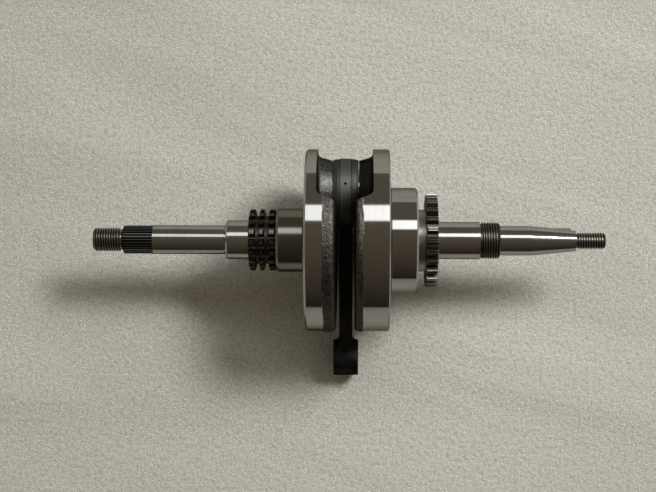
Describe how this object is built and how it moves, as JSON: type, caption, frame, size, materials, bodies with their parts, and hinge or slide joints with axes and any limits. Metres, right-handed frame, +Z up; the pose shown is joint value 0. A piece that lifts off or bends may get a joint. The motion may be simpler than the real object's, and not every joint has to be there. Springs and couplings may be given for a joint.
{
  "type": "crankshaft",
  "caption": "Built-up single-cylinder scooter crankshaft with connecting rod, ball bearing, bearing ring, chain sprocket, drive gear, taper and threaded ends.",
  "frame": {"origin": "centre of the flywheel-side ball bearing, on the crank axis", "axes": "+X along the crank axis from the pulley end to the flywheel end; +Y from the axis to the crank pin; +Z up, square to both"},
  "size_m": [0.3003, 0.1369, 0.1076],
  "materials": {
    "crank_steel": "ground on the rims and shafts, raw forging on the counterweights' inner faces",
    "bearing_steel": "polished",
    "rolling_steel": "polished",
    "cage_steel": "pressed sheet",
    "plug_steel": "turned",
    "rod_forging": "dark blasted forging",
    "dark_steel": "oiled dark oxide",
    "gear_steel": "hardened, dark flanks and bright tips",
    "key_steel": "ground"
  },
  "bodies": {
    "bearing_outer": {"ball_bearing_outer_ring": "bearing_steel"},
    "crank": {"left_half_crank": "crank_steel", "right_half_crank": "crank_steel", "crank_pin": "bearing_steel", "pin_plug_left": "plug_steel", "pin_plug_right": "plug_steel", "roller_bearing_inner_ring": "bearing_steel", "timing_sprocket": "dark_steel", "ball_bearing_inner_ring": "bearing_steel", "pump_drive_gear": "gear_steel", "gear_key": "key_steel", "flywheel_key": "key_steel"},
    "ball_set": {"bearing_ball_1": "rolling_steel", "bearing_ball_2": "rolling_steel", "bearing_ball_3": "rolling_steel", "bearing_ball_4": "rolling_steel", "bearing_ball_5": "rolling_steel", "bearing_ball_6": "rolling_steel", "bearing_ball_7": "rolling_steel", "bearing_ball_8": "rolling_steel", "bearing_ball_9": "rolling_steel", "ball_cage_left_half": "cage_steel", "ball_cage_right_half": "cage_steel", "ball_cage_rivets": "cage_steel"},
    "rod": {"connecting_rod": "rod_forging"},
    "needle_set": {"big_end_cage": "cage_steel", "big_end_needle_01": "rolling_steel", "big_end_needle_02": "rolling_steel", "big_end_needle_03": "rolling_steel", "big_end_needle_04": "rolling_steel", "big_end_needle_05": "rolling_steel", "big_end_needle_06": "rolling_steel", "big_end_needle_07": "rolling_steel", "big_end_needle_08": "rolling_steel", "big_end_needle_09": "rolling_steel", "big_end_needle_10": "rolling_steel", "big_end_needle_11": "rolling_steel", "big_end_needle_12": "rolling_steel", "big_end_needle_13": "rolling_steel", "big_end_needle_14": "rolling_steel", "big_end_needle_15": "rolling_steel", "big_end_needle_16": "rolling_steel"}
  },
  "joints": [
    {"name": "main_spin", "type": "hinge", "parent": "bearing_outer", "child": "crank", "pos_m": [0, 0, 0], "axis": [1, 0, 0], "continuous": true},
    {"name": "rod_swing", "type": "hinge", "parent": "crank", "child": "rod", "pos_m": [-0.0338, 0.0289, 0], "axis": [1, 0, 0], "continuous": true},
    {"name": "ball_set_spin", "type": "hinge", "parent": "bearing_outer", "child": "ball_set", "pos_m": [0, 0, 0], "axis": [1, 0, 0], "continuous": true},
    {"name": "needle_set_spin", "type": "hinge", "parent": "crank", "child": "needle_set", "pos_m": [-0.0338, 0.0289, 0], "axis": [1, 0, 0], "continuous": true}
  ],
  "couplings": [
    {"joint": "ball_set_spin", "follows": "main_spin", "ratio": 0.3965},
    {"joint": "needle_set_spin", "follows": "rod_swing", "ratio": 0.5532}
  ]
}
